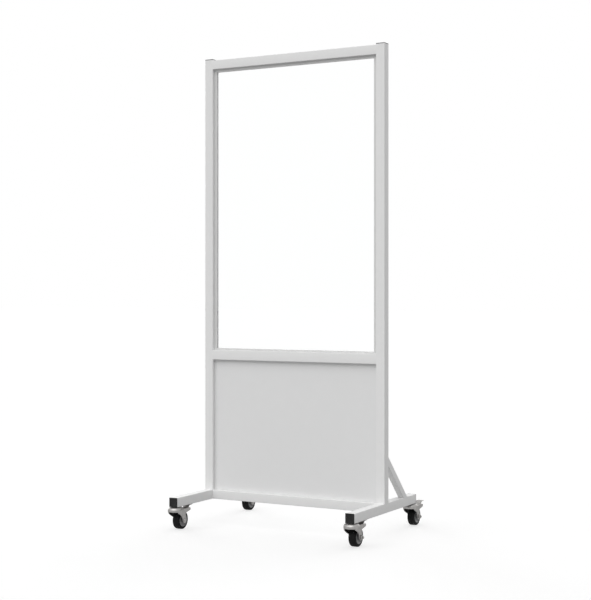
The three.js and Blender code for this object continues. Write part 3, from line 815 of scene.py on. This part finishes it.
def leg_outline():
    """Side view of a leg and its rear arm."""
    arm_height = -FORK_SHOULDER_DROP - ARM_TIP_RADIUS
    outline = [(CHEEK_FRONT, -FORK_SHOULDER_DROP), (CHEEK_FRONT, -CHEEK_DROP), (SWEEP_END, -SWEEP_END_DROP)]
    outline += bend(outline[-1], (KNEE, -KNEE_DROP), (TRAIL - LEG_TIP_RADIUS, -AXLE_DROP))
    outline += arc(TRAIL, -AXLE_DROP, LEG_TIP_RADIUS, math.pi, 2 * math.pi)[1:]
    outline += bend(outline[-1], (NECK, -(AXLE_DROP + NECK_DROP) / 2), (NECK, -NECK_DROP))
    outline += arc(ARM_REACH - ARM_TIP_RADIUS, arm_height, ARM_TIP_RADIUS, -math.pi / 2, math.pi / 2)
    return outline


def leg_blank(side):
    """The plate that a leg and its arm are cut from, with the side as a sign."""
    near, far = sorted((side * (LEG_OUTER_X - STEEL), side * LEG_OUTER_X))
    bottom = -AXLE_DROP - LEG_TIP_RADIUS
    outline = [(CHEEK_FRONT, bottom), (ARM_REACH, bottom), (ARM_REACH, 0), (CHEEK_FRONT, 0)]
    return turn_to_x(prism(outline, near, far))


def rod_along_x(radius, half_length, reach, height, sides=SMALL_SIDES):
    """A round rod across the caster."""
    rod = turned([(0, -half_length), (radius, -half_length), (radius, half_length), (0, half_length)], sides)
    return moved(turn_to_x(rod), 0, reach, height)


def fork_mesh():
    """The pressed fork: crown, cheeks, legs and rear arms, with every edge rounded as a press leaves it."""
    span = 2 * CROWN_RADIUS
    sides = mesh_of("fork", cheek_shape())
    for side in (-1, 1):
        leg = combined(mesh_of("leg", leg_blank(side)), mesh_of("room", cheek_room_shape()), "DIFFERENCE")
        sides = combined(sides, leg, "UNION")
    outline = mesh_of("outline", turn_to_x(prism(leg_outline(), -span, span)))
    fork = combined(sides, outline, "INTERSECT")
    fork = combined(fork, mesh_of("crown", crown_shape()), "UNION")
    well_radius = WHEEL_RADIUS + WHEEL_WELL_CLEARANCE
    well = rod_along_x(well_radius, LEG_INNER_SPACING / 2, TRAIL, -AXLE_DROP, WHEEL_SIDES)
    axle_hole = rod_along_x(AXLE_HOLE_RADIUS, span, TRAIL, -AXLE_DROP)
    pin_hole = rod_along_x(PEDAL_PIN_RADIUS + SEAT_GAP, span, PEDAL_PIVOT_REACH, -PEDAL_PIVOT_DROP)
    for hole in (well, axle_hole, pin_hole):
        fork = combined(fork, mesh_of("hole", hole), "DIFFERENCE")
    work = bpy.data.objects.new("work", fork)
    scene.collection.objects.link(work)
    remesh = work.modifiers.new("even mesh", "REMESH")
    remesh.mode = "VOXEL"
    remesh.voxel_size = FORK_VOXEL * MM
    soften = work.modifiers.new("rounded edges", "SMOOTH")
    soften.factor = FORK_SMOOTHING
    soften.iterations = FORK_SMOOTHING_PASSES
    lighten = work.modifiers.new("fewer faces", "DECIMATE")
    lighten.ratio = FORK_FACES_KEPT
    fork = baked(work)
    fork.name = "caster_fork"
    return fork


def tyre_shape():
    """The tyre, with its mould line round the middle and a groove on each side."""
    half_tread = TREAD_WIDTH / 2
    half_width = WHEEL_WIDTH / 2
    tread = WHEEL_RADIUS - MOULD_LINE
    shoulder = []
    for step in range(CURVE_STEPS + 1):
        angle = math.pi / 2 * step / CURVE_STEPS
        shoulder.append((
            tread - SHOULDER_DROP * (1 - math.cos(angle)),
            half_tread + (half_width - half_tread) * math.sin(angle),
        ))
    half = [(WHEEL_RADIUS, MOULD_LINE_HALF_WIDTH), (tread, MOULD_LINE_HALF_FOOT), *shoulder]
    half += [
        (GROOVE_OUTER_RADIUS, half_width),
        (GROOVE_OUTER_RADIUS - GROOVE_SLOPE, half_width - GROOVE_DEPTH),
        (GROOVE_INNER_RADIUS + GROOVE_SLOPE, half_width - GROOVE_DEPTH),
        (GROOVE_INNER_RADIUS, half_width),
        (RIM_RADIUS + TYRE_SEAT + TYRE_SEAT_EASE, half_width),
        (RIM_RADIUS + TYRE_SEAT, half_width - TYRE_SEAT_EASE),
    ]
    mirrored = [(radius, -along) for radius, along in reversed(half)]
    return turn_to_x(turned(mirrored + half, WHEEL_SIDES, ring=True))


def hub_shape():
    """The hub: rim, web and boss. Its fillet is measured from boss and web, and its dish from the rim."""
    half_web = HUB_WEB_WIDTH / 2
    half_rim = RIM_WIDTH / 2
    half_boss = HUB_BOSS_WIDTH / 2
    dish_edge = RIM_RADIUS - RIM_LIP
    half = [
        (AXLE_HOLE_RADIUS, half_boss),
        (HUB_BOSS_RADIUS - HUB_BOSS_EASE, half_boss),
        (HUB_BOSS_RADIUS, half_boss - HUB_BOSS_EASE),
    ]
    half += [(HUB_BOSS_RADIUS + out, half_web + up) for out, up in HUB_FILLET]
    half += [(dish_edge + out, half_rim + up) for out, up in HUB_DISH]
    half += [(RIM_RADIUS - HUB_RIM_EASE, half_rim), (RIM_RADIUS, half_rim - HUB_RIM_EASE)]
    mirrored = [(radius, -along) for radius, along in half]
    return turn_to_x(turned(mirrored + half[::-1], WHEEL_SIDES, ring=True))


def bolt_shape():
    """Round-headed axle bolt, its head on the low side of X and its threaded end on the other."""
    head_from = LEG_OUTER_X + SEAT_GAP
    head_to = head_from + BOLT_HEAD_HEIGHT
    dome_height = BOLT_HEAD_HEIGHT - BOLT_HEAD_RIM
    end = head_from + NUT_HEIGHT + THREAD_END
    profile = [(0, -head_to)]
    for step in range(1, HEAD_STEPS + 1):
        angle = math.pi / 2 * step / HEAD_STEPS
        along = -head_from - BOLT_HEAD_RIM - dome_height * math.cos(angle)
        profile.append((BOLT_HEAD_RADIUS * math.sin(angle), along))
    profile += [(BOLT_HEAD_RADIUS, -LEG_OUTER_X), (AXLE_RADIUS, -LEG_OUTER_X), (AXLE_RADIUS, LEG_OUTER_X)]
    thread = LEG_OUTER_X
    while thread < end - THREAD_RUN_OUT:
        profile += [
            (AXLE_RADIUS, thread + THREAD_LAND),
            (AXLE_RADIUS - THREAD_DEPTH, thread + THREAD_ROOT_FROM),
        ]
        thread += THREAD_PITCH
    profile += [(AXLE_RADIUS - BOLT_END_EASE, end), (0, end)]
    return turn_to_x(turned(profile, SMALL_SIDES))


def nut_shape():
    """Hexagon nut with chamfered corners and a widened mouth."""
    corner = NUT_ACROSS_FLATS / math.sqrt(3)
    apothem = NUT_ACROSS_FLATS / 2
    chamfer = (corner - apothem) * NUT_CHAMFER_SHARE
    bore = AXLE_RADIUS - NUT_THREAD_LAP
    profile = [
        (bore, 0),
        (apothem - NUT_FACE_INSET, 0),
        (corner, chamfer),
        (corner, NUT_HEIGHT - chamfer),
        (apothem - NUT_FACE_INSET, NUT_HEIGHT),
        (AXLE_RADIUS + NUT_MOUTH_WIDENING, NUT_HEIGHT),
        (bore, NUT_HEIGHT - NUT_MOUTH_DEPTH),
    ]
    nut = turned(profile, NUT_SIDES, ring=True, hexagon=apothem)
    return moved(turn_to_x(nut), LEG_OUTER_X, 0, 0)


def pedal_line():
    """Middle line of the bent strip, as [reach, height] pairs from the wheel end to the tread's tip."""
    half = PEDAL_STEEL / 2
    low = -(PEDAL_PIVOT_DROP - PEDAL_PIN_RADIUS) - half
    start = (PEDAL_FRONT, low)
    foot = (RISER_FOOT_REACH + half / 2, low)
    top = (RISER_TOP_REACH + half / 2, -RISER_TOP_DROP - half)
    tip = (PEDAL_REACH, -PEDAL_TIP_DROP - half)

    def between(first, second, distance):
        run = Vector(second) - Vector(first)
        return tuple(Vector(first) + run.normalized() * distance)

    line = [start, between(foot, start, PEDAL_BEND)]
    line += bend(line[-1], foot, between(foot, top, PEDAL_BEND), PEDAL_BEND_STEPS)
    line.append(between(top, foot, PEDAL_BEND))
    line += bend(line[-1], top, between(top, tip, PEDAL_BEND), PEDAL_BEND_STEPS)
    tread = line[-1]
    line += [tuple(Vector(tread).lerp(Vector(tip), i / TREAD_STEPS)) for i in range(1, TREAD_STEPS + 1)]
    return line


def strip_shape(line, width, thickness, corner):
    """A strip along a line in the side view, with softened long edges and rounded corners at its far end."""
    ease = thickness * PEDAL_EASE_SHARE
    shoulder = 1 - 2 * ease / thickness
    loops = []
    tip = line[-1][0]
    for i, (reach, height) in enumerate(line):
        before, after = line[max(i - 1, 0)], line[min(i + 1, len(line) - 1)]
        along = (Vector(after) - Vector(before)).normalized()
        normal = Vector((-along.y, along.x))
        half = width / 2
        gap = corner - (tip - reach)
        if gap > 0:
            half += math.sqrt(max(corner * corner - gap * gap, 0.0)) - corner
        section = [
            (half - ease, 1.0), (half, shoulder), (half, -shoulder), (half - ease, -1.0),
            (-half + ease, -1.0), (-half, -shoulder), (-half, shoulder), (-half + ease, 1.0),
        ]
        loop = []
        for x, side in section:
            offset = normal * side * thickness / 2
            loop.append((x, reach + offset.x, height + offset.y))
        loops.append(loop)
    return skin(loops)


def pedal_shape():
    """Brake pedal: bent strip with pressed ribs on its tread, the shoe under it and its riveted pin."""
    strip = strip_shape(pedal_line(), PEDAL_WIDTH, PEDAL_STEEL, PEDAL_CORNER)
    slope = (RISER_TOP_DROP - PEDAL_TIP_DROP) / (PEDAL_REACH - RISER_TOP_REACH)
    half_rib = PEDAL_WIDTH / 2 - RIB_INSET
    ribs = []
    for reach in RIB_REACHES:
        top = -RISER_TOP_DROP + slope * (reach - RISER_TOP_REACH)
        section = arc(reach, top - RIB_SINK, RIB_RADIUS, 0, math.pi, RIB_STEPS, flat=RIB_FLATNESS)
        ribs.append(turn_to_x(prism(section, -half_rib, half_rib)))
    shoe_top = -(PEDAL_PIVOT_DROP - PEDAL_PIN_RADIUS) - PEDAL_STEEL / 2
    shoe_front = SHOE_REACH - SHOE_THICKNESS
    shoe_outline = [
        (shoe_front, shoe_top), (shoe_front, -SHOE_DROP + SHOE_EASE),
        (shoe_front + SHOE_EASE, -SHOE_DROP), (SHOE_REACH - SHOE_EASE, -SHOE_DROP),
        (SHOE_REACH, -SHOE_DROP + SHOE_EASE), (SHOE_REACH, shoe_top),
    ]
    shoe = turn_to_x(prism(shoe_outline, -SHOE_WIDTH / 2, SHOE_WIDTH / 2))
    pin_profile = [(radius, -LEG_OUTER_X - out) for radius, out in PIN_HEAD]
    pin_profile += [(radius, LEG_OUTER_X + out) for radius, out in reversed(PIN_HEAD)]
    pin = moved(turn_to_x(turned(pin_profile, SMALL_SIDES)), 0, PEDAL_PIVOT_REACH, -PEDAL_PIVOT_DROP)
    return joined(strip, shoe, pin, *ribs)


def build_casters():
    fork = fork_mesh()
    stem = mesh_of("caster_stem", stem_shape())
    race = mesh_of("caster_race", race_shape())
    pedal = mesh_of("caster_pedal", pedal_shape())
    tyre = mesh_of("caster_tyre", tyre_shape())
    hub = mesh_of("caster_hub", hub_shape())
    bolt = mesh_of("caster_bolt", bolt_shape())
    nut = mesh_of("caster_nut", nut_shape())
    for end in ("front", "rear"):
        for side in ("left", "right"):
            place = f"{end}_{side}"
            low, high = limits(f"{place}_swivel_washer")
            centre = [(a + b) / 2 for a, b in zip(low, high)]
            top = (centre[0], centre[1], FOOT_UNDERSIDE_HEIGHT)
            axle = (centre[0], centre[1] + TRAIL, WHEEL_RADIUS)
            turn = math.pi if side == "left" else 0.0
            caster = f"{place}_caster"
            wheel = f"{place}_wheel"
            pedal_body = f"{place}_pedal"
            piece(f"{place}_stem_forging", stem, ZINC_STEEL, "frame", [f"{place}_stem"], top)
            piece(f"{place}_bearing_race", race, ZINC_STEEL, "frame", [f"{place}_swivel_washer"], top)
            fork_node = f"{place}_fork"
            piece(f"{place}_fork_pressing", fork, ZINC_STEEL, caster, [fork_node], top, smooth_angle=60)
            piece(f"{place}_pedal_pressing", pedal, ZINC_STEEL, pedal_body, [f"{place}_brake_pedal"], top)
            piece(f"{place}_tyre_moulding", tyre, TYRE_RUBBER, wheel, [f"{place}_tyre"], axle)
            piece(f"{place}_hub_moulding", hub, HUB_PLASTIC, wheel, [f"{place}_hub"], axle)
            piece(f"{place}_axle_bolt_turned", bolt, ZINC_STEEL, caster, [f"{place}_axle_bolt"], axle, turn)
            piece(f"{place}_axle_nut_hex", nut, ZINC_STEEL, caster, [f"{place}_axle_nut"], axle, turn)


# ---------------------------------------------------------------- studio

def seen_directly(tree):
    """1 where the camera, a reflection or a clear sheet sees the surface, and 0 where it lights others."""
    path = tree.nodes.new("ShaderNodeLightPath")
    total = path.outputs["Is Camera Ray"]
    for kind in ("Is Glossy Ray", "Is Transmission Ray"):
        add = tree.nodes.new("ShaderNodeMath")
        add.operation = "MAXIMUM"
        tree.links.new(total, add.inputs[0])
        tree.links.new(path.outputs[kind], add.inputs[1])
        total = add.outputs[0]
    return total


def build_floor():
    """A plain floor that takes shadows. Its glow lights nothing and only makes it white to look at."""
    mesh = bpy.data.meshes.new("studio_floor")
    half = FLOOR_HALF_WIDTH
    corners = [(-half, -half, 0), (half, -half, 0), (half, half, 0), (-half, half, 0)]
    mesh.from_pydata(corners, [], [(0, 1, 2, 3)])
    floor = bpy.data.objects.new("studio_floor", mesh)
    scene.collection.objects.link(floor)
    material = bpy.data.materials.new("studio floor")
    material.use_nodes = True
    tree = material.node_tree
    tree.nodes.remove(tree.nodes["Principled BSDF"])
    paint = tree.nodes.new("ShaderNodeBsdfDiffuse")
    paint.inputs["Color"].default_value = (FLOOR_COLOUR, FLOOR_COLOUR, FLOOR_COLOUR, 1)
    glow = tree.nodes.new("ShaderNodeEmission")
    level = tree.nodes.new("ShaderNodeMath")
    level.operation = "MULTIPLY"
    level.inputs[1].default_value = FLOOR_GLOW
    tree.links.new(seen_directly(tree), level.inputs[0])
    tree.links.new(level.outputs[0], glow.inputs["Strength"])
    both = tree.nodes.new("ShaderNodeAddShader")
    tree.links.new(paint.outputs[0], both.inputs[0])
    tree.links.new(glow.outputs[0], both.inputs[1])
    tree.links.new(both.outputs[0], tree.nodes["Material Output"].inputs["Surface"])
    mesh.materials.append(material)
    return floor


def build_world():
    """Even light all round, which looks white wherever it is seen."""
    world = bpy.data.worlds.new("studio")
    scene.world = world
    world.use_nodes = True
    tree = world.node_tree
    background = tree.nodes["Background"]
    background.inputs["Color"].default_value = (1, 1, 1, 1)
    level = tree.nodes.new("ShaderNodeMapRange")
    level.inputs["To Min"].default_value = AMBIENT
    level.inputs["To Max"].default_value = 1.0
    tree.links.new(seen_directly(tree), level.inputs["Value"])
    tree.links.new(level.outputs["Result"], background.inputs["Strength"])


def soft_sun(name, level, spread, height, bearing, spared=None):
    """A wide soft light that brings a white face square to it to a level. Its spread, its height above the
    floor and its bearing from the front round to the right are in degrees. It leaves out a spared object."""
    light = bpy.data.lights.new(name, "SUN")
    light.energy = math.pi * level
    light.angle = math.radians(spread)
    lamp = bpy.data.objects.new(name, light)
    scene.collection.objects.link(lamp)
    up, around = math.radians(height), math.radians(bearing)
    source = Vector((math.sin(around) * math.cos(up), -math.cos(around) * math.cos(up), math.sin(up)))
    lamp.rotation_euler = source.to_track_quat("Z", "Y").to_euler()
    if spared:
        unlit = bpy.data.collections.new(f"{name} leaves out")
        unlit.objects.link(spared)
        unlit.collection_objects[0].light_linking.link_state = "EXCLUDE"
        lamp.light_linking.receiver_collection = unlit


def build_camera():
    data = bpy.data.cameras.new("camera")
    camera = bpy.data.objects.new("camera", data)
    scene.collection.objects.link(camera)
    data.sensor_width = CAMERA_SENSOR
    data.lens = CAMERA_LENS
    data.shift_y = CAMERA_SHIFT
    camera.location = CAMERA_PLACE
    camera.rotation_euler = (math.pi / 2, 0, CAMERA_TURN)
    scene.camera = camera


build_camera()
build_frame()
build_casters()
studio_floor = build_floor()
build_world()
soft_sun("high front", level=0.5, spread=60, height=53, bearing=0, spared=studio_floor)
soft_sun("front left", level=0.09, spread=40, height=35, bearing=315)
soft_sun("rear", level=0.22, spread=40, height=25, bearing=180)
soft_sun("low rear left", level=0.33, spread=30, height=10, bearing=240)
scene.view_settings.view_transform = "Standard"
